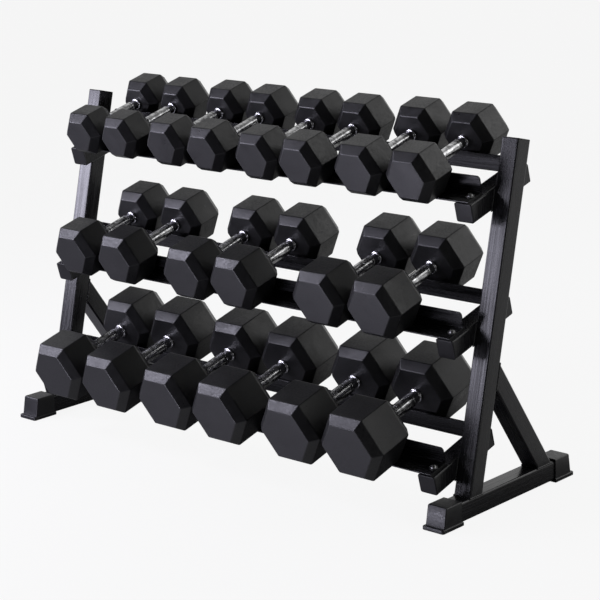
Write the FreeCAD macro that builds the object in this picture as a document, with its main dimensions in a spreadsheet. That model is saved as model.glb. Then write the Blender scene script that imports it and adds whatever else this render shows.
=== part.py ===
import FreeCAD, Part
import math
import os
import re

import Sketcher

# Three-tier dumbbell rack loaded with ten pairs of hexagonal dumbbells.
# X runs along the rack, Y from front to back, Z up from the floor. Millimetres and degrees.

doc = FreeCAD.newDocument("dumbbell_rack")
os.makedirs("parts", exist_ok=True)

TIERS = ("top", "middle", "bottom")
SIDES = {"left": -1, "right": 1}

SIZES = {
    # side frames
    "rack_width": 1484,
    "tube": 50,
    "wall": 2,
    "tube_corner": 5,
    "sole": 5,
    "upright_y": -117,
    "upright_lean": 12.8,
    "upright_length": 865,
    "foot_front": 94,
    "foot_rear": 415,
    "brace_y": 315,
    "brace_angle": 36,
    "brace_length": 430,
    "cap": 3,
    "plug": 12,
    # rubber boots on the feet
    "boot_length": 57,
    "boot_height": 60,
    "boot_side": 4,
    "boot_side_taper": 1,
    "boot_tip": 13,
    "boot_taper": 9,
    "flange_height": 10,
    "flange_side_lip": 7,
    "flange_tip_lip": 9,
    # brackets and rails
    "tier_tilt": 15.5,
    "tier_step": 326,
    "top_tier_y": 67.4,
    "top_tier_z": 753.6,
    "bracket_length": 244,
    "rail_length": 1362,
    "rail_thickness": 4,
    "rail_seat": 62,
    "rail_flange": 45,
    "rail_corner": 8,
    "rail_setback": 4,
    "rear_rail_setback": 2,
    "bolt_x": 667,
    "bolt_inset": 31,
    "bolt_radius": 4,
    "bolt_hole": 4.5,
    "bolt_head": 8.5,
    "bolt_dome": 6.5,
    "bolt_shank": 16,
    "washer_radius": 11,
    "washer_height": 1.6,
    "nut_radius": 7.5,
    "nut_height": 6.5,
    # dumbbells
    "bevel_in": 18,
    "bevel_deep": 21.5,
    "rubber": 5,
    "collar_length": 6,
    "collar_rise": 1,
    "neck_length": 15,
    "grip_taper": 3,
    "lift_gap": 0.2,
    "top_grip": 15,
    "middle_grip": 16.5,
    "bottom_grip": 18,
    "top_gap": 132,
    "middle_gap": 133,
    "bottom_gap": 140,
}

# one row per pair: tier, width across the flats, head length, middle of the handle along the
# tier, places of the two dumbbells along the rack
PAIRS = {
    "top_one": ("top", 117, 104, 127, (-594, -453)),
    "top_two": ("top", 123, 106, 125, (-271, -124)),
    "top_three": ("top", 126, 107, 121, (56, 203)),
    "top_four": ("top", 132, 109, 121, (392, 553)),
    "middle_one": ("middle", 137, 115, 125, (-549, -379)),
    "middle_two": ("middle", 142, 122, 123, (-119, 49)),
    "middle_three": ("middle", 147, 125, 126, (333, 507)),
    "bottom_one": ("bottom", 160, 130, 116, (-526, -338)),
    "bottom_two": ("bottom", 165, 138, 116, (-109, 83)),
    "bottom_three": ("bottom", 168, 142, 118, (323, 519)),
}
for pair, (tier, flats, head, middle, places) in PAIRS.items():
    SIZES[pair + "_flats"] = flats
    SIZES[pair + "_head"] = head
    SIZES[pair + "_middle"] = middle
    SIZES[pair + "_first_x"], SIZES[pair + "_second_x"] = places

sheet = doc.addObject("Spreadsheet::Sheet", "sizes")
for row, (alias, value) in enumerate(SIZES.items(), start=1):
    sheet.set(f"A{row}", alias)
    sheet.set(f"B{row}", str(value))
    sheet.setAlias(f"B{row}", alias)
doc.recompute()

WORD = re.compile(r"[a-z][a-z_]+")


def expression(text):
    """Points every size named in the text at the spreadsheet."""
    return WORD.sub(lambda m: "sizes." + m.group() if m.group() in SIZES else m.group(), text)


def bind(obj, **properties):
    """Binds properties to sizes. A double underscore in a keyword stands for a dot."""
    for name, text in properties.items():
        obj.setExpression(name.replace("__", "."), expression(str(text)))


def place(obj, x=0, y=0, z=0, turn=None):
    """Puts an object at bound coordinates, turned about X by a bound angle."""
    if turn is not None:
        obj.Placement = FreeCAD.Placement(FreeCAD.Vector(), FreeCAD.Vector(1, 0, 0), 1)
        bind(obj, Placement__Rotation__Angle=turn)
    bind(obj, Placement__Base__x=x, Placement__Base__y=y, Placement__Base__z=z)
    return obj


def make(kind, label, **properties):
    obj = doc.addObject(kind, label)
    obj.Label = label
    bind(obj, **properties)
    return obj


def cut(label, base, tool):
    obj = make("Part::Cut", label)
    obj.Base, obj.Tool = base, tool
    return obj


def fuse(label, shapes):
    obj = make("Part::MultiFuse", label)
    obj.Shapes = shapes
    return obj


def group(label, links):
    obj = make("Part::Compound", label)
    obj.Links = links
    return obj


def sketch(body, name, plane, points, sizes):
    """Closed outline of level and upright lines. sizes gives each line's bound length or None."""
    drawing = body.newObject("Sketcher::SketchObject", name)
    origin = next(f for f in body.Origin.OriginFeatures if f.Role == plane)
    drawing.AttachmentSupport = [(origin, "")]
    drawing.MapMode = "FlatFace"
    corners = [FreeCAD.Vector(x, y, 0) for x, y in points]
    count = len(corners)
    for i, corner in enumerate(corners):
        drawing.addGeometry(Part.LineSegment(corner, corners[(i + 1) % count]), False)
    for i in range(count):
        drawing.addConstraint(Sketcher.Constraint("Coincident", i, 2, (i + 1) % count, 1))
        level = abs(corners[i].y - corners[(i + 1) % count].y) < 1e-6
        drawing.addConstraint(Sketcher.Constraint("Horizontal" if level else "Vertical", i))
    for i, text in enumerate(sizes):
        if text is None:
            continue
        length = corners[i].distanceToPoint(corners[(i + 1) % count])
        row = drawing.addConstraint(Sketcher.Constraint("Distance", i, length))
        drawing.renameConstraint(row, f"side_{i}")
        bind(drawing, **{f"Constraints__side_{i}": text})
    return drawing


def rectangle(body, name, side, text):
    """Square outline centred on the body's origin, side by side."""
    half = side / 2
    points = [(-half, -half), (half, -half), (half, half), (-half, half)]
    drawing = sketch(body, name, "XY_Plane", points, [text, text, None, None])
    drawing.addConstraint(Sketcher.Constraint("Symmetric", 0, 1, 1, 2, -1, 1))
    return drawing


def edges_where(shape, test):
    return [f"Edge{i}" for i, edge in enumerate(shape.Edges, start=1) if test(edge)]


def square_tube(label, length, length_text):
    """Square tube with rounded corners, centred on Z and starting at the body's origin."""
    body = make("PartDesign::Body", label)
    outer = rectangle(body, label + "_outer", SIZES["tube"], "tube")
    pad = body.newObject("PartDesign::Pad", label + "_pad")
    pad.Profile = outer
    bind(pad, Length=length_text)
    doc.recompute()
    rounding = body.newObject("PartDesign::Fillet", label + "_corners")
    long_edges = edges_where(
        pad.Shape, lambda e: abs(e.Vertexes[0].Z - e.Vertexes[-1].Z) > length / 2
    )
    rounding.Base = (pad, long_edges)
    bind(rounding, Radius="tube_corner")
    inner = rectangle(body, label + "_inner", SIZES["tube"] - 2 * SIZES["wall"], "tube - 2 * wall")
    pocket = body.newObject("PartDesign::Pocket", label + "_bore")
    pocket.Profile = inner
    pocket.Reversed = True
    pocket.Type = "ThroughAll"
    return body


def box(label, x, y, z):
    return make("Part::Box", label, Length=x, Width=y, Height=z)


def cylinder(label, radius, height):
    return make("Part::Cylinder", label, Radius=radius, Height=height)


def tier_place(obj, tier, x="0", u="0", h="0", turn="0"):
    """Places an object in a tier's own frame: x along the rack, u up the slope, h off it."""
    drop = TIERS.index(tier)
    base_y = f"upright_y + top_tier_y - {drop} * tier_step * sin(upright_lean)"
    base_z = f"top_tier_z - {drop} * tier_step * cos(upright_lean)"
    return place(
        obj,
        x=x,
        y=f"{base_y} + ({u}) * cos(tier_tilt) - ({h}) * sin(tier_tilt)",
        z=f"{base_z} + ({u}) * sin(tier_tilt) + ({h}) * cos(tier_tilt)",
        turn=f"tier_tilt + ({turn})",
    )


nodes = []

# ---------------------------------------------------------------- side frames
caps = []
end_caps = []
boots = []
for side, sign in SIDES.items():
    centre = f"{sign} * (rack_width - tube) / 2"

    # foot tube along the floor
    foot = square_tube(side + "_foot", 509, "foot_front + foot_rear")
    place(foot, centre, "upright_y + foot_rear", "sole + tube / 2", turn="90")
    nodes.append(foot)

    # leaning upright, mitred to stand on the foot
    post = square_tube(side + "_post", 865, "upright_length")
    lean_y = "upright_y + tube / 2 * cos(upright_lean)"
    lean_z = "sole + tube - tube / 2 * sin(upright_lean)"
    place(post, centre, lean_y, lean_z, turn="-upright_lean")
    below = box(side + "_below_post", "3 * tube", "6 * tube", "2 * tube")
    place(below, f"{centre} - 1.5 * tube", "upright_y - 2 * tube", "sole - tube")
    nodes.append(cut(side + "_upright", post, below))

    # diagonal brace, mitred against the upright's back and the foot's top
    strut = square_tube(side + "_strut", 430, "brace_length")
    place(
        strut,
        centre,
        "upright_y + brace_y + tube * sin(brace_angle)",
        "sole + tube - tube * cos(brace_angle)",
        turn="brace_angle",
    )
    under = box(side + "_under_strut", "3 * tube", "8 * tube", "2 * tube")
    place(under, f"{centre} - 1.5 * tube", "upright_y + brace_y - 4 * tube", "sole - tube")
    ahead = box(side + "_ahead_of_strut", "3 * tube", "5 * tube", "upright_length")
    place(
        ahead,
        f"{centre} - 1.5 * tube",
        "upright_y - 4 * tube * cos(upright_lean)",
        "sole + tube + 4 * tube * sin(upright_lean)",
        turn="-upright_lean",
    )
    nodes.append(cut(side + "_brace", strut, fuse(side + "_brace_ends", [under, ahead])))

    # plastic cap on the upright's top
    lid = box(side + "_lid", "tube", "tube", "cap")
    plug = box(side + "_lid_plug", "tube - 2 * wall - 0.4", "tube - 2 * wall - 0.4", "plug")
    place(lid, "-tube / 2", "-tube / 2", "0")
    place(plug, "-tube / 2 + wall + 0.2", "-tube / 2 + wall + 0.2", "-plug")
    top_cap = fuse(side + "_upright_cap", [lid, plug])
    place(
        top_cap,
        centre,
        "upright_y + tube / 2 * cos(upright_lean) + upright_length * sin(upright_lean)",
        "sole + tube - tube / 2 * sin(upright_lean) + upright_length * cos(upright_lean)",
        turn="-upright_lean",
    )
    caps.append(top_cap)

    # rubber boots: tapered sleeve with a spreading sole at both ends of the foot
    for end, facing in (("front", -1), ("rear", 1)):
        name = f"{side}_{end}_boot"
        sleeve = make("Part::Wedge", name + "_sleeve")
        half = "(tube / 2 + boot_side)"
        bind(
            sleeve,
            Xmin=f"-{half}",
            Xmax=half,
            X2min=f"-{half} + boot_side_taper",
            X2max=f"{half} - boot_side_taper",
            Ymin="0",
            Ymax="boot_height",
            Zmin="-boot_tip",
            Zmax="boot_length",
            Z2min="-boot_tip + boot_taper",
            Z2max="boot_length - 2",
        )
        sole = box(
            name + "_sole",
            "tube + 2 * flange_side_lip",
            "flange_height",
            "boot_length + boot_tip + flange_tip_lip + 3",
        )
        place(sole, "-tube / 2 - flange_side_lip", "0", "-boot_tip - flange_tip_lip")
        block = fuse(name + "_block", [sleeve, sole])
        core = box(name + "_core", "tube", "tube", "2 * boot_length")
        place(core, "-tube / 2", "sole", "0")
        boot = cut(name, block, core)
        reach = "upright_y - foot_front" if end == "front" else "upright_y + foot_rear"
        spin = FreeCAD.Rotation(FreeCAD.Vector(1, 0, 0), 90)
        if end == "front":
            spin = FreeCAD.Rotation(FreeCAD.Vector(0, 0, 1), 180) * spin
        boot.Placement = FreeCAD.Placement(FreeCAD.Vector(), spin)
        bind(boot, Placement__Base__x=centre, Placement__Base__y=reach, Placement__Base__z="0")
        boots.append(boot)

# ---------------------------------------------------------------- brackets
for side, sign in SIDES.items():
    bracket_x = f"{sign} * (rack_width / 2 - 1.5 * tube)"
    brackets = []
    for tier in TIERS:
        name = f"{side}_{tier}"
        arm = square_tube(name + "_arm", 238, "bracket_length - 2 * cap")
        drills = []
        for end, spot in (
            ("front", "rail_setback + bolt_inset - cap"),
            ("rear", "bracket_length - cap - rear_rail_setback - bolt_inset"),
        ):
            drill = cylinder(f"{name}_{end}_drill", "bolt_hole", "tube / 2")
            place(drill, "0", "0", spot, turn="90")
            drills.append(drill)
        bracket = cut(name + "_bracket", arm, group(name + "_drills", drills))
        tier_place(bracket, tier, bracket_x, "cap", "-tube / 2", turn="-90")
        brackets.append(bracket)
        for end, spot, flip in (("front", "cap", "90"), ("rear", "bracket_length - cap", "-90")):
            cover = box(f"{name}_{end}_cover", "tube", "tube", "cap")
            stub = box(
                f"{name}_{end}_stub", "tube - 2 * wall - 0.4", "tube - 2 * wall - 0.4", "plug"
            )
            place(cover, "-tube / 2", "-tube / 2", "0")
            place(stub, "-tube / 2 + wall + 0.2", "-tube / 2 + wall + 0.2", "-plug")
            end_cap = fuse(f"{name}_{end}_end_cap", [cover, stub])
            tier_place(end_cap, tier, bracket_x, spot, "-tube / 2", turn=flip)
            end_caps.append(end_cap)
    nodes.append(group(side + "_brackets", brackets))

nodes.append(group("foot_boots", boots))
nodes.append(group("upright_caps", caps))
nodes.append(group("bracket_end_caps", end_caps))

# ---------------------------------------------------------------- rails and their fixings
bolts = []
washers = []
nuts = []
for tier in TIERS:
    for end in ("front", "rear"):
        name = f"{tier}_{end}_rail"
        body = make("PartDesign::Body", name + "_bar")
        seat, lip, thick = SIZES["rail_seat"], SIZES["rail_flange"], SIZES["rail_thickness"]
        points = [(0, 0), (seat, 0), (seat, lip), (seat - thick, lip), (seat - thick, thick), (0, thick)]
        texts = ["rail_seat", "rail_flange", "rail_thickness", None, None, "rail_thickness"]
        if end == "rear":
            points = [(seat - y, z) for y, z in points]
        drawing = sketch(body, name + "_section", "YZ_Plane", points, texts)
        anchor = 0 if end == "front" else 1
        drawing.addConstraint(Sketcher.Constraint("Coincident", 0, anchor + 1, -1, 1))
        pad = body.newObject("PartDesign::Pad", name + "_pad")
        pad.Profile = drawing
        bind(pad, Length="rail_length")
        doc.recompute()
        rounding = body.newObject("PartDesign::Fillet", name + "_corners")
        rounding.Base = (
            pad,
            edges_where(
                pad.Shape,
                lambda e: abs(e.CenterOfMass.z - lip) < 0.01 and e.Length < 2 * thick,
            ),
        )
        bind(rounding, Radius="rail_corner")
        inset = "bolt_inset" if end == "front" else "rail_seat - bolt_inset"
        start = (
            "rail_setback"
            if end == "front"
            else "bracket_length - rear_rail_setback - rail_seat"
        )
        drills = []
        for side, sign in SIDES.items():
            drill = cylinder(f"{name}_{side}_drill", "bolt_hole", "2 * rail_thickness")
            place(drill, f"rail_length / 2 + {sign} * bolt_x", inset, "-rail_thickness / 2")
            drills.append(drill)

            tag = f"{name}_{side}"
            spot = f"{start} + {inset}"
            shank = cylinder(tag + "_shank", "bolt_radius", "bolt_shank")
            place(shank, "0", "0", "-bolt_shank")
            radius = "((bolt_head * bolt_head + bolt_dome * bolt_dome) / (2 * bolt_dome))"
            dome = make("Part::Sphere", tag + "_dome", Radius=radius)
            bind(dome, Angle1=f"asin(({radius} - bolt_dome) / {radius})")
            place(dome, "0", "0", f"bolt_dome - {radius}")
            bolt = fuse(tag + "_bolt", [shank, dome])
            tier_place(bolt, tier, f"{sign} * bolt_x", spot, "rail_thickness + washer_height")
            bolts.append(bolt)

            disc = cylinder(tag + "_disc", "washer_radius", "washer_height")
            hole = cylinder(tag + "_disc_hole", "bolt_hole", "washer_height")
            washer = cut(tag + "_washer", disc, hole)
            tier_place(washer, tier, f"{sign} * bolt_x", spot, "rail_thickness")
            washers.append(washer)

            block = make("Part::Prism", tag + "_nut_block")
            block.Polygon = 6
            bind(block, Circumradius="nut_radius", Height="nut_height")
            thread = cylinder(tag + "_nut_hole", "bolt_radius", "nut_height")
            nut = cut(tag + "_nut", block, thread)
            tier_place(nut, tier, f"{sign} * bolt_x", spot, "-wall - nut_height")
            nuts.append(nut)
        rail = cut(name, body, group(name + "_drills", drills))
        tier_place(rail, tier, "-rail_length / 2", start, "0")
        nodes.append(rail)

nodes.append(group("rail_bolts", bolts))
nodes.append(group("rail_washers", washers))
nodes.append(group("rail_nuts", nuts))


# ---------------------------------------------------------------- dumbbells
def hexagon_block(label, flats, length, inset):
    """Hexagonal block along Z from zero, flat side down, both ends bevelled, shrunk by inset."""
    corner = f"(({flats}) / 2 - {inset}) / cos(30)"
    small = f"(({flats}) / 2 - {inset} - bevel_in) / cos(30)"
    sections = []
    for i, (radius, height) in enumerate(
        (
            (small, f"{inset}"),
            (corner, f"{inset} + bevel_deep"),
            (corner, f"{length} - bevel_deep - {inset}"),
            (small, f"{length} - {inset}"),
        )
    ):
        ring = make("Part::RegularPolygon", f"{label}_section_{i}", Circumradius=radius)
        ring.Polygon = 6
        place(ring, z=height)
        sections.append(ring)
    block = make("Part::Loft", label)
    block.Sections = sections
    block.Solid = True
    block.Ruled = True
    return block


for pair, (tier, flats, head, middle, places) in PAIRS.items():
    gap, grip = f"{tier}_gap", f"{tier}_grip"
    neck = f"({grip} - 3)"

    # handle: neck, collars against the heads, tapered ends and a plain grip
    turned = [cylinder(pair + "_neck", neck, f"{gap} + 2 * rubber")]
    place(turned[0], z=f"-{gap} / 2 - rubber")
    for end, near in (("front", f"-{gap} / 2"), ("rear", f"{gap} / 2 - collar_length")):
        collar = cylinder(f"{pair}_{end}_collar", f"{grip} + collar_rise", "collar_length")
        turned.append(place(collar, z=near))
    shoulder = f"({gap} / 2 - collar_length - neck_length)"
    swell = make("Part::Cone", pair + "_front_taper", Radius1=neck, Radius2=grip)
    bind(swell, Height="grip_taper")
    turned.append(place(swell, z=f"-{shoulder}"))
    fall = make("Part::Cone", pair + "_rear_taper", Radius1=grip, Radius2=neck)
    bind(fall, Height="grip_taper")
    turned.append(place(fall, z=f"{shoulder} - grip_taper"))
    barrel = cylinder(pair + "_barrel", grip, f"2 * ({shoulder} - grip_taper)")
    turned.append(place(barrel, z=f"-{shoulder} + grip_taper"))
    handle = fuse(pair + "_turned", turned)

    # one rubber head with its iron core, and the same mirrored to the other end
    outer = hexagon_block(pair + "_outer", f"{pair}_flats", f"{pair}_head", "0")
    iron = hexagon_block(pair + "_iron", f"{pair}_flats", f"{pair}_head", "rubber")
    throat = cylinder(pair + "_throat", neck, f"{pair}_head / 2")
    place(throat, z=f"{pair}_head / 2")
    hollow = fuse(pair + "_hollow", [iron, throat])
    shell = cut(pair + "_shell", outer, hollow)
    shells, cores = [], []
    for piece, row in ((shell, shells), (iron, cores)):
        shifted = group(f"{piece.Label}_front", [piece])
        place(shifted, z=f"-{gap} / 2 - {pair}_head")
        mirrored = make("Part::Mirroring", f"{piece.Label}_rear")
        mirrored.Source = shifted
        mirrored.Base = FreeCAD.Vector(0, 0, 0)
        mirrored.Normal = FreeCAD.Vector(0, 0, 1)
        row.extend([shifted, mirrored])

    # the two dumbbells of the pair
    for turn, which in enumerate(("first", "second")):
        number = 2 * [p for p in PAIRS if PAIRS[p][0] == tier].index(pair) + turn + 1
        name = f"dumbbell_{tier}_{number}"
        for part, pieces in (("heads", shells), ("handle", [handle] + cores)):
            node = group(f"{name}_{part}", pieces)
            tier_place(
                node,
                tier,
                f"{pair}_{which}_x",
                f"{pair}_middle",
                f"rail_thickness + lift_gap + {pair}_flats / 2",
                turn="-90",
            )
            nodes.append(node)

doc.recompute()

# ---------------------------------------------------------------- check and export
for obj in doc.Objects:
    if "Invalid" in obj.State or "Error" in obj.State:
        raise RuntimeError(f"{obj.Label}: {obj.State}")
for node in nodes:
    if node.Shape.isNull() or not node.Shape.isValid():
        raise RuntimeError(f"{node.Label}: bad shape")
    node.Shape.exportStep(f"parts/{node.Label}.step")

bounds = FreeCAD.BoundBox()
for node in nodes:
    bounds.add(node.Shape.BoundBox)
print(f"{len(nodes)} parts, box {bounds}, middle {bounds.Center}")
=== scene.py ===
import math

import bmesh
import bpy
from mathutils import Matrix, Vector


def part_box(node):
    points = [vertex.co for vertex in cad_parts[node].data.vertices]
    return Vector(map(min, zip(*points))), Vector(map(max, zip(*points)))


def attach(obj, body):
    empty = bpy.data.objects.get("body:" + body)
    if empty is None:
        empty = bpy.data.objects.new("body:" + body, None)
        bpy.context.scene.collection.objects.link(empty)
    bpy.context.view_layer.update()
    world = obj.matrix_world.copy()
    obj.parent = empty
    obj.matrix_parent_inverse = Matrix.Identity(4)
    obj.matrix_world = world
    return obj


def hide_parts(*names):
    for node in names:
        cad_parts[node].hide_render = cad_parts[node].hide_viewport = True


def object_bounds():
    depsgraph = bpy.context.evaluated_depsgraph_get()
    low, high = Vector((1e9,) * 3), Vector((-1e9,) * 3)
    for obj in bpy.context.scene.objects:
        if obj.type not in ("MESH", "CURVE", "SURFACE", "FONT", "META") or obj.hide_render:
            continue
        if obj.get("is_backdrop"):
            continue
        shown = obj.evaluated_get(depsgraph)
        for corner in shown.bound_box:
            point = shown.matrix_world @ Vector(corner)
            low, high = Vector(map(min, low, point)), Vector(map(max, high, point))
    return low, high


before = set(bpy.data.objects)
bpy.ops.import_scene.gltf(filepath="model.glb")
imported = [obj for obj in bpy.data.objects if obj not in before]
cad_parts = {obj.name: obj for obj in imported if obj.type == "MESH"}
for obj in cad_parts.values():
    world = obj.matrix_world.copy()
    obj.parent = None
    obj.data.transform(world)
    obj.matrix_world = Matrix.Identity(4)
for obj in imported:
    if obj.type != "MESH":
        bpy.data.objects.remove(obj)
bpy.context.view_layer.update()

# Sizes in metres, angles in radians. Each tier has its own axes: x along the rack, u up the
# slope and h off it.
TILT = math.radians(15.5)
LEAN = math.radians(-12.8)
BRACE = math.radians(36)
TIERS = ("top", "middle", "bottom")
SIDES = ("left", "right")
COUNTS = {"top": 8, "middle": 6, "bottom": 6}
HALF_TUBE = 0.025
WALL = 0.002
CORNER = 0.005
CORNER_STEPS = 4
CAP = 0.003
Z_UP = Vector((0, 0, 1))
Y_BACK = Vector((0, 1, 0))
QUARTERS = ((1, 1), (-1, 1), (-1, -1), (1, -1))


# ---------------------------------------------------------------- materials
def graph(name, **sockets):
    """A material with one Principled shader, whose plain values are set on its own sockets."""
    material = bpy.data.materials.new(name)
    material.use_nodes = True
    tree = material.node_tree
    tree.nodes.clear()
    out = tree.nodes.new("ShaderNodeOutputMaterial")
    shader = tree.nodes.new("ShaderNodeBsdfPrincipled")
    tree.links.new(shader.outputs["BSDF"], out.inputs["Surface"])
    for socket, value in sockets.items():
        shader.inputs[socket.replace("_", " ")].default_value = value
    return material, tree, shader


def add(tree, kind, links=(), **settings):
    """Adds a node. links are (input, output socket) pairs, settings are the node's own."""
    node = tree.nodes.new(kind)
    for key, value in settings.items():
        setattr(node, key, value)
    for socket, source in links:
        tree.links.new(source, node.inputs[socket])
    return node


def place_texture(tree, stretch=(1, 1, 1)):
    """Object coordinates, stretched, and moved by a different amount on each object."""
    where = add(tree, "ShaderNodeTexCoord")
    scaled = add(tree, "ShaderNodeMapping", [("Vector", where.outputs["Object"])])
    scaled.inputs["Scale"].default_value = stretch
    info = add(tree, "ShaderNodeObjectInfo")
    moved = add(
        tree,
        "ShaderNodeVectorMath",
        [(0, scaled.outputs["Vector"]), (1, info.outputs["Random"])],
        operation="ADD",
    )
    return moved.outputs["Vector"]


def noise(tree, vector, scale, detail=3.0, rough=0.55):
    """Noise texture. scale is its number of patches to the metre, roughly."""
    node = add(tree, "ShaderNodeTexNoise", [("Vector", vector)])
    node.inputs["Scale"].default_value = scale
    node.inputs["Detail"].default_value = detail
    node.inputs["Roughness"].default_value = rough
    return node.outputs["Fac"]


def span(tree, value, low, high, to_low, to_high):
    """Maps low..high of a value to to_low..to_high, clamped."""
    node = add(tree, "ShaderNodeMapRange", [("Value", value)])
    for socket, number in (
        ("From Min", low),
        ("From Max", high),
        ("To Min", to_low),
        ("To Max", to_high),
    ):
        node.inputs[socket].default_value = number
    return node.outputs["Result"]


def maths(tree, operation, first, second):
    """Math node between two values, each a number or an output socket."""
    node = tree.nodes.new("ShaderNodeMath")
    node.operation = operation
    for i, value in enumerate((first, second)):
        if isinstance(value, (int, float)):
            node.inputs[i].default_value = value
        else:
            tree.links.new(value, node.inputs[i])
    return node.outputs["Value"]


def blend_colours(tree, factor, first, second):
    """The first colour where the factor is 0, the second where it is 1. Each may be a socket."""
    node = tree.nodes.new("ShaderNodeMix")
    node.data_type = "RGBA"
    tree.links.new(factor, node.inputs["Factor"])
    for socket, value in (("A", first), ("B", second)):
        target = next(s for s in node.inputs if s.name == socket and s.type == "RGBA")
        if isinstance(value, tuple):
            target.default_value = (*value, 1.0)
        else:
            tree.links.new(value, target)
    return next(s for s in node.outputs if s.type == "RGBA")


def bump(tree, height, strength, distance, under=None):
    """Normal bent by a height texture, on top of another normal if one is given."""
    node = add(tree, "ShaderNodeBump", [("Height", height)])
    node.inputs["Strength"].default_value = strength
    node.inputs["Distance"].default_value = distance
    if under is not None:
        tree.links.new(under, node.inputs["Normal"])
    return node.outputs["Normal"]


def edge_mask(tree, low, high):
    """1 along outer edges and corners, 0 on flat faces."""
    shape = tree.nodes.new("ShaderNodeNewGeometry")
    return span(tree, shape.outputs["Pointiness"], low, high, 0.0, 1.0)


def clouds(tree, vector, scale):
    """Soft patches, 0 to 1."""
    return span(tree, noise(tree, vector, scale), low=0.3, high=0.7, to_low=0.0, to_high=1.0)


def powder_coat(name, stretch):
    """Charcoal powder coat: fine streaks along the tube, faint rub marks, and edges lightened
    partly as worn paint and partly as a painted highlight.
    """
    material, tree, shader = graph(name, Metallic=0.0, IOR=1.5)
    plain = place_texture(tree)
    drawn = place_texture(tree, stretch)
    colour = blend_colours(tree, clouds(tree, plain, scale=11.0), PAINT_DARK, PAINT_LIGHT)
    streaks = noise(tree, drawn, scale=210.0, detail=3.0, rough=0.65)
    rubs = span(tree, streaks, low=0.50, high=0.72, to_low=0.0, to_high=0.5)
    colour = blend_colours(tree, rubs, colour, PAINT_RUBBED)

    # Lighter colour along outer edges: part worn paint, part painted highlight along the tube
    # corners.
    edges = maths(tree, "MULTIPLY", edge_mask(tree, low=0.53, high=0.62), EDGE_WEAR_AND_HIGHLIGHT)
    speckle = noise(tree, plain, scale=160.0)
    speckle = span(tree, speckle, low=0.45, high=0.65, to_low=0.15, to_high=1.0)
    wear_and_highlight = maths(tree, "MULTIPLY", edges, speckle)
    colour = blend_colours(tree, wear_and_highlight, colour, PAINT_WEAR_AND_HIGHLIGHT)
    tree.links.new(colour, shader.inputs["Base Color"])

    patches = noise(tree, plain, scale=9.0, detail=2.0)
    patches = span(tree, patches, low=0.3, high=0.7, to_low=0.23, to_high=0.28)
    lines = span(tree, streaks, low=0.35, high=0.65, to_low=-0.07, to_high=0.09)
    tree.links.new(maths(tree, "ADD", patches, lines), shader.inputs["Roughness"])

    peel = noise(tree, plain, scale=420.0, detail=1.0)
    normal = bump(tree, peel, strength=0.03, distance=0.00035)
    normal = bump(tree, streaks, strength=0.12, distance=0.0004, under=normal)
    tree.links.new(normal, shader.inputs["Normal"])
    return material


def rubber(name, dark, light, scuff_and_highlight, grain, shine):
    """Moulded rubber: clouded tone, dusty scuffs, edges lightened partly as rubbed wear and partly
    as a painted highlight, fine grain and a soft unevenness.
    """
    material, tree, shader = graph(name, Metallic=0.0, IOR=1.5)
    shader.inputs["Specular IOR Level"].default_value = shine
    plain = place_texture(tree)
    colour = blend_colours(tree, clouds(tree, plain, scale=14.0), dark, light)
    scuffs = noise(tree, plain, scale=48.0, detail=6.0, rough=0.7)
    scuffs = span(tree, scuffs, low=0.56, high=0.8, to_low=0.0, to_high=0.45)
    colour = blend_colours(tree, scuffs, colour, scuff_and_highlight)

    patches = noise(tree, plain, scale=26.0, detail=5.0, rough=0.7)
    patches = span(tree, patches, low=0.42, high=0.62, to_low=0.08, to_high=0.60)
    # Edges take the scuff colour: part rubbed wear, part painted highlight along the bevel edges.
    rubbed_and_highlit = maths(tree, "MULTIPLY", edge_mask(tree, low=0.53, high=0.66), patches)
    colour = blend_colours(tree, rubbed_and_highlit, colour, scuff_and_highlight)
    tree.links.new(colour, shader.inputs["Base Color"])

    broad = noise(tree, plain, scale=22.0)
    broad = span(tree, broad, low=0.3, high=0.7, to_low=0.33, to_high=0.43)
    fine = noise(tree, plain, scale=190.0, detail=3.0, rough=0.7)
    fine = span(tree, fine, low=0.38, high=0.62, to_low=-0.06, to_high=0.12)
    tree.links.new(maths(tree, "ADD", broad, fine), shader.inputs["Roughness"])

    wave = noise(tree, plain, scale=16.0, detail=1.0)
    normal = bump(tree, wave, strength=0.35, distance=0.0012)
    pits = noise(tree, plain, scale=230.0, detail=2.0, rough=0.6)
    normal = bump(tree, pits, strength=0.10, distance=0.0004, under=normal)
    skin_grain = noise(tree, plain, scale=grain, detail=2.0)
    normal = bump(tree, skin_grain, strength=0.2, distance=0.0002, under=normal)
    tree.links.new(normal, shader.inputs["Normal"])
    return material


def plated(name, colour, smooth, dull, blotch=0.72, blotch_scale=60.0):
    """Bright plated steel with a faint haze, and darker blotches where it is handled."""
    material, tree, shader = graph(name, Metallic=1.0)
    plain = place_texture(tree)
    haze = noise(tree, plain, scale=blotch_scale, detail=4.0)
    haze = span(tree, haze, low=0.36, high=0.64, to_low=0.0, to_high=1.0)
    shaded = tuple(blotch * channel for channel in colour)
    tree.links.new(blend_colours(tree, haze, colour, shaded), shader.inputs["Base Color"])
    gloss = noise(tree, plain, scale=130.0, detail=4.0)
    gloss = span(tree, gloss, low=0.35, high=0.7, to_low=smooth, to_high=dull)
    tree.links.new(gloss, shader.inputs["Roughness"])
    scratches = noise(tree, plain, scale=900.0, detail=2.0)
    normal = bump(tree, scratches, strength=0.05, distance=0.0001)
    tree.links.new(normal, shader.inputs["Normal"])
    return material


PAINT_DARK = (0.0065, 0.0065, 0.0072)
PAINT_LIGHT = (0.0095, 0.0095, 0.0105)
PAINT_RUBBED = (0.017, 0.0165, 0.019)
# Edge colour and its strength: worn paint and a painted highlight along the edges.
PAINT_WEAR_AND_HIGHLIGHT = (0.04, 0.039, 0.043)
EDGE_WEAR_AND_HIGHLIGHT = 0.5
ALONG_Z = (1, 1, 0.02)
ALONG_X = (0.02, 1, 1)

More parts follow.
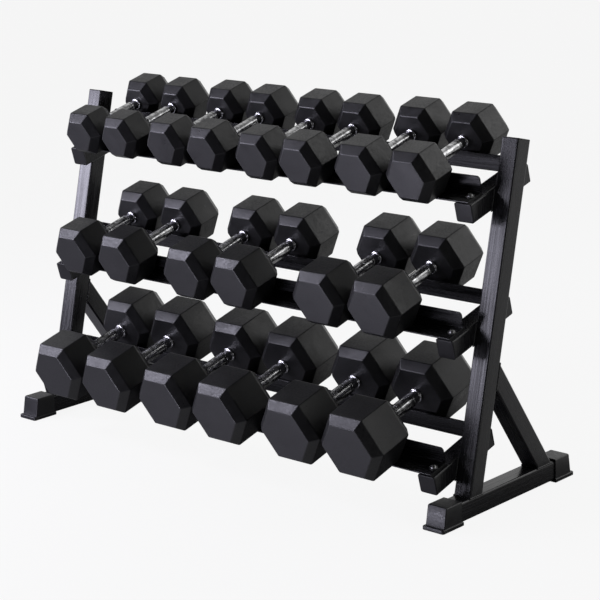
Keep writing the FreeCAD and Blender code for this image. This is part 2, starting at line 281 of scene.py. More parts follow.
paint_tube = powder_coat("powder_coat_tube", ALONG_Z)
paint_rail = powder_coat("powder_coat_rail", ALONG_X)
head_rubber = rubber(
    "rubber_heads",
    dark=(0.0055, 0.0055, 0.0060),
    light=(0.0080, 0.0080, 0.0085),
    scuff_and_highlight=(0.018, 0.018, 0.019),
    grain=1500.0,
    shine=0.5,
)
boot_rubber = rubber(
    "rubber_boots",
    dark=(0.0075, 0.0075, 0.0082),
    light=(0.0110, 0.0110, 0.0120),
    scuff_and_highlight=(0.030, 0.029, 0.032),
    grain=1100.0,
    shine=0.5,
)
cap_plastic = rubber(
    "plastic_caps",
    dark=(0.0045, 0.0045, 0.0050),
    light=(0.0070, 0.0070, 0.0076),
    scuff_and_highlight=(0.020, 0.020, 0.022),
    grain=1900.0,
    shine=0.32,
)
chrome = plated("chrome_smooth", (0.80, 0.80, 0.81), smooth=0.17, dull=0.28)
chrome_knurled = plated(
    "chrome_knurled", (0.84, 0.84, 0.85), smooth=0.16, dull=0.30, blotch=0.30, blotch_scale=95.0
)
zinc = plated("zinc_fixings", (0.42, 0.42, 0.42), smooth=0.30, dull=0.46)


# ---------------------------------------------------------------- placing and finishing
def turned_box(node, angle):
    """Lowest and highest corner of a CAD node in axes turned by angle about X."""
    cos, sin = math.cos(angle), math.sin(angle)
    corners = [
        (v.co.x, v.co.y * cos + v.co.z * sin, v.co.z * cos - v.co.y * sin)
        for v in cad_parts[node].data.vertices
    ]
    low = Vector([min(column) for column in zip(*corners)])
    high = Vector([max(column) for column in zip(*corners)])
    return low, high


def turned(angle, point):
    """The place, in the part's own frame, of a point given in axes turned by angle about X."""
    return Matrix.Rotation(angle, 4, "X") @ Matrix.Translation(point)


def piece(name, shape, materials, body, nodes, at=None, rounding=0.0, segments=2):
    """Turns a bmesh into a finished object that rides on a body and stands for CAD nodes."""
    bmesh.ops.recalc_face_normals(shape, faces=shape.faces[:])
    mesh = bpy.data.meshes.new(name)
    shape.to_mesh(mesh)
    shape.free()
    for material in materials:
        mesh.materials.append(material)
    for polygon in mesh.polygons:
        polygon.use_smooth = polygon.material_index == 0
    obj = bpy.data.objects.new(name, mesh)
    bpy.context.scene.collection.objects.link(obj)
    if at is not None:
        obj.matrix_world = at
    if rounding:
        soft = obj.modifiers.new("rounding", "BEVEL")
        soft.width = rounding
        soft.segments = segments
        soft.limit_method = "ANGLE"
        soft.angle_limit = math.radians(30)
        soft.use_clamp_overlap = True
    even = obj.modifiers.new("even_faces", "WEIGHTED_NORMAL")
    even.keep_sharp = True
    bpy.context.view_layer.update()
    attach(obj, body)
    if nodes:
        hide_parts(*nodes)


# ---------------------------------------------------------------- shapes
def rounded_ring(shape, half, radius, place):
    """Loop of a rounded square. place turns its two coordinates into a point."""
    loop = []
    for quarter, (sx, sy) in enumerate(QUARTERS):
        for step in range(CORNER_STEPS + 1):
            angle = math.radians(90 * (quarter + step / CORNER_STEPS))
            x = sx * (half - radius) + radius * math.cos(angle)
            y = sy * (half - radius) + radius * math.sin(angle)
            loop.append(shape.verts.new(place(x, y)))
    return loop


def skin(shape, loops, start=True, end=True):
    """Joins loops of equal length into a skin, with its ends closed or left open."""
    for lower, upper in zip(loops, loops[1:]):
        count = len(lower)
        for i in range(count):
            j = (i + 1) % count
            shape.faces.new((lower[i], lower[j], upper[j], upper[i]))
    if start:
        shape.faces.new(reversed(loops[0]))
    if end:
        shape.faces.new(loops[-1])


def meet(start, along, plane):
    """How far along a line from start it meets a plane, given as a point and a normal."""
    point, normal = plane
    return normal.dot(point - start) / normal.dot(along)


def square_tube(name, centre, angle, low_plane, high_plane, node):
    """Hollow square tube along the local Z, cut off at its ends by two planes."""
    shape = bmesh.new()
    turn = Matrix.Rotation(angle, 3, "X")
    along = turn @ Z_UP
    outside = (HALF_TUBE, CORNER)
    inside = (HALF_TUBE - WALL, CORNER - WALL)
    rings = (
        (low_plane, inside),
        (low_plane, outside),
        (high_plane, outside),
        (high_plane, inside),
    )
    loops = []
    for plane, (half, radius) in rings:

        def on_plane(x, y):
            return (x, y, meet(centre + turn @ Vector((x, y, 0)), along, plane))

        loops.append(rounded_ring(shape, half, radius, on_plane))
    loops.append(loops[0])
    skin(shape, loops, start=False, end=False)
    at = Matrix.Translation(centre) @ Matrix.Rotation(angle, 4, "X")
    piece(name, shape, [paint_tube], "frame", [node], at)


WELD_RADIUS = 0.0022
WELD_STEP = 0.0011
WELD_RIPPLE = 0.16
WELD_RIPPLE_TURN = 1.9
WELD_POINTS = 8
OFF_AXIS = Vector((0.31, 0.52, 0.79))


def weld(name, corners):
    """A bead of weld round a ring of corners, with the ripple of its passes."""
    shape = bmesh.new()
    path = []
    for i, a in enumerate(corners):
        b = corners[(i + 1) % len(corners)]
        steps = max(2, int((b - a).length / WELD_STEP))
        path += [a.lerp(b, k / steps) for k in range(steps)]
    loops = []
    for i, point in enumerate(path):
        ahead = (path[(i + 1) % len(path)] - path[i - 1]).normalized()
        side = ahead.cross(OFF_AXIS).normalized()
        up = side.cross(ahead)
        swell = WELD_RADIUS * (1 + WELD_RIPPLE * math.sin(i * WELD_RIPPLE_TURN))
        loop = []
        for k in range(WELD_POINTS):
            turn = 2 * math.pi * k / WELD_POINTS
            offset = side * math.cos(turn) + up * math.sin(turn)
            loop.append(shape.verts.new(point + offset * swell))
        loops.append(loop)
    loops.append(loops[0])
    skin(shape, loops, start=False, end=False)
    piece(name, shape, [paint_tube], "frame", [])


PLUG = HALF_TUBE - 0.0022
PLUG_CORNER = 0.0030
PLUG_DEPTH = 0.012


def cap_shape(shape, at):
    """Moulded tube cap: a softly domed lid, level with the tube, and a plug inside it."""
    # half width, corner radius and height of each ring, from the plug's end to the lid's top
    lid = (
        (PLUG, PLUG_CORNER, -PLUG_DEPTH),
        (PLUG, PLUG_CORNER, 0.0),
        (HALF_TUBE, CORNER, 0.0),
        (HALF_TUBE, CORNER, 0.45 * CAP),
        (HALF_TUBE - 0.0004, 0.0048, 0.72 * CAP),
        (HALF_TUBE - 0.0013, 0.0045, 0.90 * CAP),
        (HALF_TUBE - 0.0028, 0.0040, 0.97 * CAP),
        (0.4 * HALF_TUBE, 0.0030, CAP),
    )
    loops = []
    for half, radius, height in lid:
        loops.append(rounded_ring(shape, half, radius, lambda x, y: at @ Vector((x, y, height))))
    skin(shape, loops)


# ---------------------------------------------------------------- side frames
WELD_INSET = 0.001


def tube_corners(centre, turn, plane):
    """The four points where a tube's edges meet a plane, just inside its two side faces."""
    along = turn @ Z_UP
    corners = []
    for sx, sy in QUARTERS:
        start = centre + turn @ Vector((sx * (HALF_TUBE - WELD_INSET), sy * HALF_TUBE, 0))
        corners.append(start + along * meet(start, along, plane))
    return corners


def side_frame(side):
    """Foot, upright and brace of one side, cut to meet each other, and their welds."""
    foot_low, foot_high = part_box(f"{side}_foot")
    post_low, post_high = turned_box(f"{side}_upright", LEAN)
    strut_low, strut_high = turned_box(f"{side}_brace", BRACE)
    post_turn = Matrix.Rotation(LEAN, 3, "X")
    strut_turn = Matrix.Rotation(BRACE, 3, "X")
    x = (foot_low.x + foot_high.x) / 2
    foot_z = (foot_low.z + foot_high.z) / 2
    foot_front = Vector((x, foot_low.y, foot_z))
    foot_rear = Vector((x, foot_high.y, foot_z))
    foot_top = (Vector((x, 0, foot_high.z)), Z_UP)
    post_y = (post_low.y + post_high.y) / 2
    post_base = post_turn @ Vector((x, post_y, post_low.z))
    post_top = (post_turn @ Vector((x, post_y, post_high.z)), post_turn @ Z_UP)
    post_back = (post_turn @ Vector((x, post_high.y, 0)), post_turn @ Y_BACK)
    strut_y = (strut_low.y + strut_high.y) / 2
    strut_base = strut_turn @ Vector((x, strut_y, strut_low.z))

    square_tube(
        f"{side}_foot_tube",
        foot_rear,
        math.radians(90),
        (foot_rear, Y_BACK),
        (foot_front, Y_BACK),
        f"{side}_foot",
    )
    square_tube(f"{side}_upright_tube", post_base, LEAN, foot_top, post_top, f"{side}_upright")
    square_tube(f"{side}_brace_tube", strut_base, BRACE, foot_top, post_back, f"{side}_brace")
    weld(f"{side}_upright_base_weld", tube_corners(post_base, post_turn, foot_top))
    weld(f"{side}_brace_base_weld", tube_corners(strut_base, strut_turn, foot_top))
    weld(f"{side}_brace_head_weld", tube_corners(strut_base, strut_turn, post_back))


for side in SIDES:
    side_frame(side)

caps = bmesh.new()
for side in SIDES:
    low, high = turned_box(f"{side}_upright", LEAN)
    mid = Vector(((low.x + high.x) / 2, (low.y + high.y) / 2, high.z))
    cap_shape(caps, turned(LEAN, mid))
piece("upright_cap_pair", caps, [cap_plastic], "frame", ["upright_caps"])


# ---------------------------------------------------------------- rubber boots
BOOT_LENGTH = 0.057
BOOT_HEIGHT = 0.060
BOOT_TIP = 0.013
BOOT_SIDE = 0.004
TIP_TAPER = 0.009
SIDE_TAPER = 0.001
PLATE_HEIGHT = 0.010
PLATE_SIDE_LIP = 0.007
PLATE_TIP_LIP = 0.009
PLATE_REAR_LIP = 0.003
REAR_CORNER = 0.0006
MOUTH_SLACK = 0.0004
MOUTH_DEPTH = 0.014
TUBE_MIDDLE = 0.030


def boot_shape(shape, centre_x, tip_y, facing):
    """Moulded boot on the end of a foot: a tapered sleeve on a plate that stands out all round.

    facing is 1 where it points to +Y and -1 to -Y. Each ring runs round the boot at one height.
    """

    def ring(height, side, front, back, corner):
        loop = []
        for quarter, (sx, sy) in enumerate(QUARTERS):
            radius = corner if sy > 0 else REAR_CORNER
            along = front if sy > 0 else -back
            for step in range(CORNER_STEPS + 1):
                angle = math.radians(90 * (quarter + step / CORNER_STEPS))
                x = sx * (side - radius) + radius * math.cos(angle)
                y = along - sy * radius + radius * math.sin(angle)
                loop.append(shape.verts.new((centre_x + x, tip_y + facing * y, height)))
        return loop

    side = HALF_TUBE + PLATE_SIDE_LIP
    tip = BOOT_TIP + PLATE_TIP_LIP
    rear = BOOT_LENGTH + PLATE_REAR_LIP
    sleeve = HALF_TUBE + BOOT_SIDE
    top = PLATE_HEIGHT
    loops = [
        ring(0.0, side - 0.0012, tip - 0.0012, rear - 0.001, 0.005),
        ring(0.0012, side, tip, rear, 0.006),
        ring(top - 0.0022, side, tip, rear, 0.006),
        ring(top - 0.0007, side - 0.0006, tip - 0.0006, rear - 0.0004, 0.0056),
        ring(top, side - 0.0020, tip - 0.0020, rear - 0.0012, 0.0046),
        ring(top, sleeve + 0.0006, BOOT_TIP + 0.0006, BOOT_LENGTH, 0.003),
    ]
    # share of the sleeve's height, and how far its top edge is rounded off there
    for share, soft in ((0, 0), (0.33, 0), (0.66, 0), (0.93, 0), (0.975, 0.0008), (1, 0.0026)):
        height = top + (BOOT_HEIGHT - top) * share
        fall = height / BOOT_HEIGHT
        loops.append(
            ring(
                height,
                sleeve - SIDE_TAPER * fall - soft,
                BOOT_TIP - TIP_TAPER * fall - soft,
                BOOT_LENGTH - soft * 0.4,
                0.0028,
            )
        )
    skin(shape, loops)


def boot_mouth(shape, centre_x, tip_y, facing):
    """Block that hollows the boot out round the end of the tube, with a chamfered way in."""
    half = HALF_TUBE + MOUTH_SLACK
    loops = []
    for depth, grow in (
        (BOOT_LENGTH + 0.01, 0.0008),
        (BOOT_LENGTH - 0.0008, 0.0008),
        (BOOT_LENGTH - 0.0022, 0.0),
        (BOOT_LENGTH - MOUTH_DEPTH, 0.0),
    ):
        y = tip_y - facing * depth
        loops.append(
            rounded_ring(
                shape, half + grow, CORNER, lambda x, z: Vector((centre_x + x, y, TUBE_MIDDLE + z))
            )
        )
    skin(shape, loops)


def as_object(name, shape):
    """A bmesh as a plain object, with its faces turned outwards."""
    bmesh.ops.recalc_face_normals(shape, faces=shape.faces[:])
    mesh = bpy.data.meshes.new(name)
    shape.to_mesh(mesh)
    shape.free()
    obj = bpy.data.objects.new(name, mesh)
    bpy.context.scene.collection.objects.link(obj)
    return obj


def hollowed(solid, tool):
    """The first shape with the second cut out of it, as a new shape. Both are used up."""
    body, cutter = as_object("solid", solid), as_object("tool", tool)
    carve = body.modifiers.new("carve", "BOOLEAN")
    carve.object = cutter
    carve.operation = "DIFFERENCE"
    carve.solver = "EXACT"
    bpy.context.view_layer.update()
    finished = body.evaluated_get(bpy.context.evaluated_depsgraph_get())
    result = bmesh.new()
    result.from_mesh(finished.to_mesh())
    for obj in (body, cutter):
        mesh = obj.data
        bpy.data.objects.remove(obj)
        bpy.data.meshes.remove(mesh)
    return result


boots = bmesh.new()
mouths = bmesh.new()
for side in SIDES:
    low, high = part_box(f"{side}_foot")
    for tip_y, facing in ((low.y, -1), (high.y, 1)):
        boot_shape(boots, (low.x + high.x) / 2, tip_y, facing)
        boot_mouth(mouths, (low.x + high.x) / 2, tip_y, facing)
piece("rubber_boots", hollowed(boots, mouths), [boot_rubber], "frame", ["foot_boots"])


# ---------------------------------------------------------------- shapes of rails and fixings
RAIL_THICK = 0.004
RAIL_SEAT = 0.062
RAIL_LIP = 0.045
RAIL_EDGE = 0.0009
BEND_OUT = 0.0045
BEND_IN = 0.0012
LIP_CORNER = 0.008
LIP_STEPS = 8
SOFT_EDGE = 0.0006


def arc(cx, cy, radius, start, stop, steps=4):
    """Points along an arc, from one angle in degrees to another."""
    for k in range(steps + 1):
        angle = math.radians(start + (stop - start) * k / steps)
        yield cx + radius * math.cos(angle), cy + radius * math.sin(angle)


def rail_shape(half_length, flange_at_high):
    """Angle bar along X: a seat with a flange whose top corners are rounded at both ends."""
    shape = bmesh.new()
    edge, seat, lip, thick = RAIL_EDGE, RAIL_SEAT, RAIL_LIP, RAIL_THICK
    section = []
    section += arc(edge, edge, edge, 180, 270, steps=2)
    section += arc(seat - BEND_OUT, BEND_OUT, BEND_OUT, 270, 360)
    section += arc(seat - edge, lip - edge, edge, 0, 90, steps=2)
    section += arc(seat - thick + edge, lip - edge, edge, 90, 180, steps=2)
    section += arc(seat - thick - BEND_IN, thick + BEND_IN, BEND_IN, 360, 270, steps=3)
    section += arc(edge, thick - edge, edge, 90, 180, steps=2)
    if not flange_at_high:
        section = [(seat - y, z) for y, z in reversed(section)]

    def station(x, drop):
        loop = []
        for y, z in section:
            if z > lip - 0.002:
                z -= drop
            loop.append(shape.verts.new((x, y, z)))
        return loop

    ends = []
    for k in range(LIP_STEPS + 1):
        angle = math.radians(90 * k / LIP_STEPS)
        drop = LIP_CORNER * (1 - math.cos(angle))
        ends.append((half_length - LIP_CORNER + LIP_CORNER * math.sin(angle), drop))
    left = [(-x, drop) for x, drop in reversed(ends)]
    skin(shape, [station(x, drop) for x, drop in left + ends])
    return shape


def circle(count, radius, height):
    """Points round the local Z."""
    for k in range(count):
        angle = 2 * math.pi * k / count
        yield Vector((radius * math.cos(angle), radius * math.sin(angle), height))


WASHER_RADIUS = 0.011
WASHER_HOLE = 0.0046
WASHER_THICK = 0.0016
WASHER_EDGE = 0.0003
ROUND_STEPS = 32


def washer(shape, at):
    """Flat washer that lies on the local XY plane, its outer edges eased."""
    rings = (
        (WASHER_HOLE, 0.0),
        (WASHER_RADIUS - WASHER_EDGE, 0.0),
        (WASHER_RADIUS, WASHER_EDGE),
        (WASHER_RADIUS, WASHER_THICK - WASHER_EDGE),
        (WASHER_RADIUS - WASHER_EDGE, WASHER_THICK),
        (WASHER_HOLE, WASHER_THICK),
    )
    loops = []
    for radius, height in rings:
        loops.append([shape.verts.new(at @ spot) for spot in circle(ROUND_STEPS, radius, height)])
    skin(shape, loops)


BOLT_RADIUS = 0.0085
BOLT_DOME = 0.0065
BOLT_TOP = 0.0060
BOLT_EDGE = 0.0002
SOCKET_RADIUS = 0.0029
SOCKET_DEPTH = 0.0034
BOLT_STEPS = 24
DOME_HEIGHTS = (0.0, 0.0012, 0.0025, 0.0037, 0.0048, 0.0056, 0.0061)


def button_head(shape, at):
    """Domed screw head with a hexagonal socket, standing on its washer."""
    ball = (BOLT_RADIUS**2 + BOLT_DOME**2) / (2 * BOLT_DOME)
    loops = []
    for height in DOME_HEIGHTS:
        radius = math.sqrt(ball**2 - (height + ball - BOLT_DOME) ** 2)
        loops.append([shape.verts.new(at @ spot) for spot in circle(BOLT_STEPS, radius, height)])
    sixth = math.pi / 3
    for scale, height in ((1.0, BOLT_TOP), (0.97, BOLT_TOP - SOCKET_DEPTH)):
        loop = []
        for k in range(BOLT_STEPS):
            angle = 2 * math.pi * k / BOLT_STEPS
            to_flat = math.cos((angle + sixth / 2) % sixth - sixth / 2)
            reach = scale * SOCKET_RADIUS * math.cos(sixth / 2) / to_flat
            spot = Vector((reach * math.cos(angle), reach * math.sin(angle), height))
            loop.append(shape.verts.new(at @ spot))
        loops.append(loop)
    skin(shape, loops)


# ---------------------------------------------------------------- brackets, rails and fixings
BOLT_X = 0.667
BOLT_INSET = 0.031
BRACKET_ASIDE = 2 * HALF_TUBE
BRACKET_AHEAD = 0.004
BRACKET_BEHIND = 0.002
WELD_SINK = 0.0004


def bracket_tube(shape, at_front, at_rear):
    """Hollow bracket tube between its two end caps."""
    outside = (HALF_TUBE, CORNER)
    inside = (HALF_TUBE - WALL, CORNER - WALL)
    rings = ((at_front, inside), (at_front, outside), (at_rear, outside), (at_rear, inside))
    loops = []
    for at, (half, radius) in rings:
        loops.append(rounded_ring(shape, half, radius, lambda a, b: at @ Vector((a, 0, b))))
    loops.append(loops[0])
    skin(shape, loops, start=False, end=False)


def bracket_weld(side, tier, x, top):
    """Bead where a bracket crosses the inner face of its upright."""
    low, high = turned_box(f"{side}_upright", LEAN)
    slope = Matrix.Rotation(TILT, 3, "X")
    across = Matrix.Rotation(LEAN, 3, "X") @ Y_BACK
    corners = []
    for face, drop in (
        (low.y, 0.0),
        (high.y, 0.0),
        (high.y, 2 * HALF_TUBE),
        (low.y, 2 * HALF_TUBE),
    ):
        start = slope @ Vector((0, 0, top - drop))
        along = slope @ Y_BACK
        point = start + along * meet(start, along, (across * face, across))
        corners.append(Vector((x, point.y, point.z)))
    weld(f"{side}_{tier}_bracket_weld", corners)


brackets = {side: bmesh.new() for side in SIDES}
end_caps = bmesh.new()
heads = bmesh.new()
washers = bmesh.new()
for tier in TIERS:
    front_low, front_high = turned_box(f"{tier}_front_rail", TILT)
    rear_low, rear_high = turned_box(f"{tier}_rear_rail", TILT)
    top = front_low.z
    for end, low, high in (("front", front_low, front_high), ("rear", rear_low, rear_high)):
        name = f"{tier}_{end}_rail"
        piece(
            f"{name}_bar",
            rail_shape((high.x - low.x) / 2, flange_at_high=end == "front"),
            [paint_rail],
            "frame",
            [name],
            turned(TILT, Vector(((low.x + high.x) / 2, low.y, low.z))),
            rounding=SOFT_EDGE,
        )
        u = low.y + BOLT_INSET if end == "front" else high.y - BOLT_INSET
        for sign in (-1, 1):
            foot = turned(TILT, Vector((sign * BOLT_X, u, top + RAIL_THICK)))
            washer(washers, foot)
            button_head(heads, foot @ Matrix.Translation((0, 0, WASHER_THICK)))
    ahead = front_low.y - BRACKET_AHEAD + CAP
    behind = rear_high.y + BRACKET_BEHIND - CAP
    for side, sign in (("left", -1), ("right", 1)):
        post_low, post_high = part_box(f"{side}_upright")
        x = (post_low.x + post_high.x) / 2 - sign * BRACKET_ASIDE
        at_front = turned(TILT, Vector((x, ahead, top - HALF_TUBE)))
        at_rear = turned(TILT, Vector((x, behind, top - HALF_TUBE)))
        bracket_tube(brackets[side], at_front, at_rear)
        cap_shape(end_caps, at_front @ Matrix.Rotation(math.radians(90), 4, "X"))
        cap_shape(end_caps, at_rear @ Matrix.Rotation(math.radians(-90), 4, "X"))
        bracket_weld(side, tier, x + sign * (HALF_TUBE - WELD_SINK), top)

for side in SIDES:
    piece(
        f"{side}_bracket_tubes",
        brackets[side],
        [paint_tube],
        "frame",
        [f"{side}_brackets"],
    )
piece("bracket_caps", end_caps, [cap_plastic], "frame", ["bracket_end_caps"])
piece("screw_heads", heads, [zinc], "frame", ["rail_bolts"], rounding=BOLT_EDGE)
piece("flat_washers", washers, [zinc], "frame", ["rail_washers"])

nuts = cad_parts["rail_nuts"].data
nuts.materials.clear()
nuts.materials.append(zinc)


# ---------------------------------------------------------------- dumbbells
BEVEL_IN = 0.018
BEVEL_DEEP = 0.0215
HEAD_ROUNDING = 0.0022
COLLAR = 0.006
COLLAR_RISE = 0.001
NECK = 0.015
NECK_DROP = 0.003
TAPER = 0.003
POLISHED = 0.006
KNURL_PITCH = 0.00145
KNURL_RISE = 0.0004
KNURL_COUNT = 64
SIXTH = math.pi / 3
GRIPS = {"top": (0.015, 0.132), "middle": (0.0165, 0.133), "bottom": (0.018, 0.140)}


def head_shape(shape, flats, near, far):
    """Hexagonal head along the local Y, bevelled at both ends."""
    outer = flats / math.sqrt(3)
    inner = (flats / 2 - BEVEL_IN) / math.cos(SIXTH / 2)
    away = 1 if far > near else -1
    loops = []
    for radius, y in (
        (inner, near),
        (outer, near + away * BEVEL_DEEP),
        (outer, far - away * BEVEL_DEEP),
        (inner, far),
    ):
        loop = []
        for k in range(6):
            spot = (radius * math.cos(k * SIXTH), y, radius * math.sin(k * SIXTH))
            loop.append(shape.verts.new(spot))
        loops.append(loop)
    skin(shape, loops)


def handle_profile(grip, half_gap):
    """(radius, height) pairs of the turned handle, and which rows between them are knurled.

    From each end: a stub inside the rubber, the rounded collar, the slim neck, the taper up to
    the grip, a short polished stretch, and then the knurl across the middle.
    """
    neck = grip - NECK_DROP
    ring = grip + COLLAR_RISE
    face = half_gap - COLLAR
    shoulder = face - NECK
    knurl_end = shoulder - TAPER - POLISHED
    half = [
        (neck, half_gap + 0.004),
        (neck + 0.0010, half_gap + 0.0004),
        (ring - 0.0016, half_gap + 0.0002),
        (ring - 0.0005, half_gap - 0.0004),
        (ring, half_gap - 0.0014),
        (ring, face + 0.0026),
        (ring - 0.0003, face + 0.0016),
        (ring - 0.0010, face + 0.0008),
        (ring - 0.0020, face + 0.0002),
        (ring - 0.0030, face),
        (neck + 0.0006, face),
        (neck, face - 0.0006),
        (neck, shoulder + 0.0006),
        (neck + 0.0003, shoulder),
        (grip - 0.0004, shoulder - TAPER + 0.0002),
        (grip, shoulder - TAPER - 0.0004),
        (grip, knurl_end + 0.0009),
        (grip - 0.0004, knurl_end + 0.0005),
        (grip - 0.0004, knurl_end),
    ]
    rows = max(2, round(2 * knurl_end / KNURL_PITCH))
    middle = [(grip, knurl_end - 2 * knurl_end * k / rows) for k in range(1, rows)]
    other = [(radius, -height) for radius, height in reversed(half)]
    profile = half + middle + other
    first = len(half) - 1
    knurled = [first <= row < first + rows for row in range(len(profile) - 1)]
    return profile, knurled


def turned_handle(shape, profile, knurled, at):
    """Turns the profile about the local Z and places it with a matrix.

    Every second point of a knurled row stands out, so that its faces make a diamond pattern.
    """
    loops = []
    for row, (radius, height) in enumerate(profile):
        raised = 0 < row < len(knurled) and knurled[row - 1] and knurled[row]
        loop = []
        for k in range(KNURL_COUNT):
            angle = 2 * math.pi * k / KNURL_COUNT
            reach = radius
            if raised:
                reach += KNURL_RISE * ((k + row) % 2 - 0.5)
            spot = Vector((reach * math.cos(angle), reach * math.sin(angle), height))
            loop.append(shape.verts.new(at @ spot))
        loops.append(loop)
    for row, (lower, upper) in enumerate(zip(loops, loops[1:])):
        for k in range(KNURL_COUNT):
            j = (k + 1) % KNURL_COUNT
            face = shape.faces.new((lower[k], lower[j], upper[j], upper[k]))
            face.material_index = 1 if knurled[row] else 0
    shape.faces.new(reversed(loops[0]))
    shape.faces.new(loops[-1])


def dumbbell(tier, number):
    """Both rubber heads and the handle of one dumbbell, riding on its own body."""
    grip, gap = GRIPS[tier]
    name = f"dumbbell_{tier}_{number}"
    low, high = turned_box(f"{name}_heads", TILT)
    at = turned(TILT, (low + high) / 2)
    reach = (high.y - low.y) / 2
    rubber_pair = bmesh.new()
    for facing in (-1, 1):
        head_shape(rubber_pair, high.z - low.z, facing * gap / 2, facing * reach)
    piece(
        f"{name}_rubber_heads",
        rubber_pair,
        [head_rubber],
        name,
        [f"{name}_heads"],
        at,
        rounding=HEAD_ROUNDING,
        segments=3,
    )
    bar = bmesh.new()
    profile, knurled = handle_profile(grip, gap / 2)
    turned_handle(bar, profile, knurled, Matrix.Rotation(math.radians(-90), 4, "X"))
    piece(
        f"{name}_turned_handle",
        bar,
        [chrome, chrome_knurled],
        name,
        [f"{name}_handle"],
        at,
    )


for tier in TIERS:
    for number in range(1, COUNTS[tier] + 1):
        dumbbell(tier, number)


# ---------------------------------------------------------------- floor, light and camera
def backdrop(name, mesh, tone, glow):
    """Surroundings that only the camera sees, so that they don't light the rack."""
    material, tree, shader = graph(name)
    shader.inputs["Base Color"].default_value = (tone, tone, tone, 1)
    shader.inputs["Roughness"].default_value = 0.9
    shader.inputs["Specular IOR Level"].default_value = 0.0
    shader.inputs["Emission Color"].default_value = (1, 1, 1, 1)
    shader.inputs["Emission Strength"].default_value = glow
    mesh.materials.append(material)
    obj = bpy.data.objects.new(name, mesh)
    bpy.context.scene.collection.objects.link(obj)
    obj.visible_diffuse = False
    obj.visible_glossy = False
    obj.visible_transmission = False
    obj.visible_shadow = False
    obj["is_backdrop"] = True


def level_sheet(name, low, high):
    """Flat rectangle at height 0 between two corners."""
    mesh = bpy.data.meshes.new(name)
    (x0, y0), (x1, y1) = low, high
    mesh.from_pydata([(x0, y0, 0), (x1, y0, 0), (x1, y1, 0), (x0, y1, 0)], [], [(0, 1, 2, 3)])
    return mesh


def floor_and_wall():
    """Pale floor, inside a pale dome that stands for the studio's walls."""
    floor = level_sheet("floor", (-FLOOR_REACH, -FLOOR_REACH), (FLOOR_REACH, FLOOR_REACH))
    backdrop("floor", floor, FLOOR_TONE, FLOOR_GLOW)
    dome = bmesh.new()
    bmesh.ops.create_uvsphere(dome, u_segments=48, v_segments=24, radius=WALL_REACH)
    wall = bpy.data.meshes.new("wall")
    dome.to_mesh(wall)
    dome.free()
    backdrop("wall", wall, 0.0, WALL_GLOW)


def shade_card():
    """Dark card under the rack, where the floor is in the rack's own shadow. No camera sees it."""
    card = level_sheet("shade_card", *SHADE)
    material, tree, shader = graph("shade_card")
    shader.inputs["Base Color"].default_value = (SHADE_TONE, SHADE_TONE, SHADE_TONE, 1)
    shader.inputs["Roughness"].default_value = 0.9
    card.materials.append(material)
    obj = bpy.data.objects.new("shade_card", card)
    obj.location.z = -SHADE_DEPTH
    bpy.context.scene.collection.objects.link(obj)
    obj.visible_camera = False
    obj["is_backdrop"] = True


def room_light():
    """Soft light that reaches the rack from all round it, in broad lobes of differing strength."""
    world = bpy.data.worlds.new("studio")
    world.use_nodes = True
    bpy.context.scene.world = world
    tree = world.node_tree
    tree.nodes.clear()
    out = tree.nodes.new("ShaderNodeOutputWorld")
    shine = tree.nodes.new("ShaderNodeBackground")
    way = tree.nodes.new("ShaderNodeTexCoord").outputs["Generated"]
    total = None
    for azimuth, elevation, strength, tint in ROOM:
        facing = add(tree, "ShaderNodeVectorMath", [(0, way)], operation="DOT_PRODUCT")
        facing.inputs[1].default_value = toward(azimuth, elevation)
        ahead = maths(tree, "MAXIMUM", facing.outputs["Value"], 0.0)
        lobe = maths(tree, "POWER", ahead, LOBE)
        lit = add(tree, "ShaderNodeVectorMath", [(0, lobe)], operation="MULTIPLY_ADD")
        lit.inputs[1].default_value = [strength * share for share in tint]
        if total is not None:
            tree.links.new(total, lit.inputs[2])
        total = lit.outputs["Vector"]
    tree.links.new(total, shine.inputs["Color"])
    tree.links.new(shine.outputs["Background"], out.inputs["Surface"])


def toward(azimuth, elevation):
    """Direction from the rack. Azimuth 0 is in front of it and 90 to its right."""
    a, e = math.radians(azimuth), math.radians(elevation)
    return Vector((math.sin(a) * math.cos(e), -math.cos(a) * math.cos(e), math.sin(e)))


def softbox(name, azimuth, elevation, distance, width, height, radiance, colour):
    """Rectangular softbox aimed at the middle of the rack."""
    back = toward(azimuth, elevation)
    light = bpy.data.lights.new(name, "AREA")
    light.shape = "RECTANGLE"
    light.size = width
    light.size_y = height
    light.energy = radiance * math.pi * width * height
    light.color = colour
    obj = bpy.data.objects.new(name, light)
    obj.location = RACK_MIDDLE + back * distance
    obj.rotation_mode = "QUATERNION"
    obj.rotation_quaternion = back.to_track_quat("Z", "Y")
    obj.visible_camera = False
    bpy.context.scene.collection.objects.link(obj)


def camera():
    """Long lens in front of the rack and to its right, as high as a person's eyes."""
    lens = bpy.data.cameras.new("camera")
    lens.sensor_width = SENSOR_WIDTH
    lens.lens = FOCAL_LENGTH
    lens.shift_y = LENS_SHIFT
    lens.clip_start = CLIP_START
    lens.clip_end = CLIP_END
    cos_p, sin_p = math.cos(CAMERA_PITCH), math.sin(CAMERA_PITCH)
    heading = Vector((-math.sin(CAMERA_YAW), math.cos(CAMERA_YAW), 0))
    right = Vector((math.cos(CAMERA_YAW), math.sin(CAMERA_YAW), 0))
    up = Z_UP * cos_p + heading * sin_p
    look = heading * cos_p - Z_UP * sin_p
    cos_r, sin_r = math.cos(CAMERA_ROLL), math.sin(CAMERA_ROLL)
    right, up = right * cos_r + up * sin_r, up * cos_r - right * sin_r
    turn = Matrix((right, up, -look)).transposed()
    obj = bpy.data.objects.new("camera", lens)
    obj.matrix_world = Matrix.Translation(CAMERA_PLACE) @ turn.to_4x4()
    bpy.context.scene.collection.objects.link(obj)
    bpy.context.scene.camera = obj


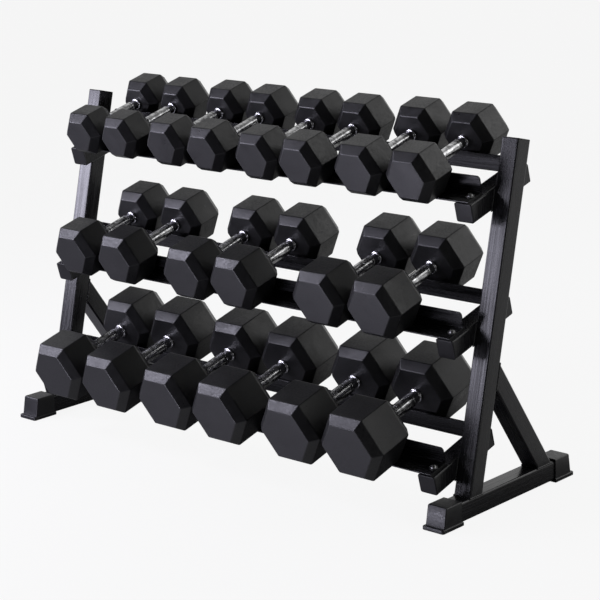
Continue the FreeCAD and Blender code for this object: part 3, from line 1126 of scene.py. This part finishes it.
# The camera's place, angles and focal length are the rounded output of a least-squares fit.
CAMERA_PLACE = Vector((3.392, -3.741, 1.669))
CAMERA_YAW = math.radians(41.23)
CAMERA_PITCH = math.radians(12.29)
CAMERA_ROLL = math.radians(-0.965)
SENSOR_WIDTH = 36.0
FOCAL_LENGTH = 118.6
LENS_SHIFT = -0.1
CLIP_START = 0.05
CLIP_END = 500.0

FLOOR_REACH = 60.0
WALL_REACH = 75.0
FLOOR_TONE = 0.06
FLOOR_GLOW = 0.90
WALL_GLOW = 0.93
RACK_MIDDLE = Vector((0, 0, 0.45))
SHADE = ((-0.85, -0.20), (0.85, 0.40))
SHADE_TONE = 0.1
SHADE_DEPTH = 0.002
LAVENDER = (0.95, 0.93, 1.12)
NEUTRAL = (1.0, 1.0, 1.0)
LOBE = 6.0
# azimuth and elevation in degrees, strength and colour of each lobe of the room's light
# The strengths are the rounded output of a least-squares fit. They weren't chosen by hand.
ROOM = (
    (180, 15, 1.04, NEUTRAL),
    (225, 50, 0.51, NEUTRAL),
    (135, 15, 0.51, NEUTRAL),
    (225, -50, 0.36, NEUTRAL),
    (270, -15, 0.34, LAVENDER),
    (0, -50, 0.31, LAVENDER),
    (315, -50, 0.23, LAVENDER),
    (225, 15, 0.21, NEUTRAL),
    (45, -50, 0.16, NEUTRAL),
    (315, -15, 0.15, LAVENDER),
    (180, -15, 0.13, NEUTRAL),
    (0, -90, 0.13, NEUTRAL),
    (0, -15, 0.11, NEUTRAL),
    (45, -15, 0.03, NEUTRAL),
)
# name, azimuth and elevation in degrees, distance, width and height in metres, radiance, colour
# The radiances of back_right and back come from the same fit.
SOFTBOXES = (
    ("front_low_far", -57, 10.5, 2.6, 0.9, 0.65, 10.0, LAVENDER),
    ("front_low_left", -43, 13, 2.6, 0.6, 0.8, 3.5, LAVENDER),
    ("front_low_near", -24, 10, 2.6, 0.9, 0.9, 5.6, LAVENDER),
    ("front_foot", -12, -23, 1.9, 0.6, 0.19, 22.0, LAVENDER),
    ("front_left", -51.5, 31.5, 2.6, 0.85, 0.5, 16.0, LAVENDER),
    ("front_near_high", -30, 38, 2.6, 1.0, 0.9, 1.6, LAVENDER),
    ("side_left", -74, 12, 2.6, 0.8, 0.9, 2.0, LAVENDER),
    ("side_right", 88, 3, 3.0, 1.5, 1.3, 1.2, NEUTRAL),
    ("back_right", 120, 35, 3.0, 1.5, 1.2, 1.24, NEUTRAL),
    ("back", 150, 20, 3.0, 1.5, 1.2, 0.93, NEUTRAL),
)

floor_and_wall()
shade_card()
room_light()
for box in SOFTBOXES:
    softbox(*box)
camera()
bpy.context.scene.view_settings.view_transform = "Standard"

low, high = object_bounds()
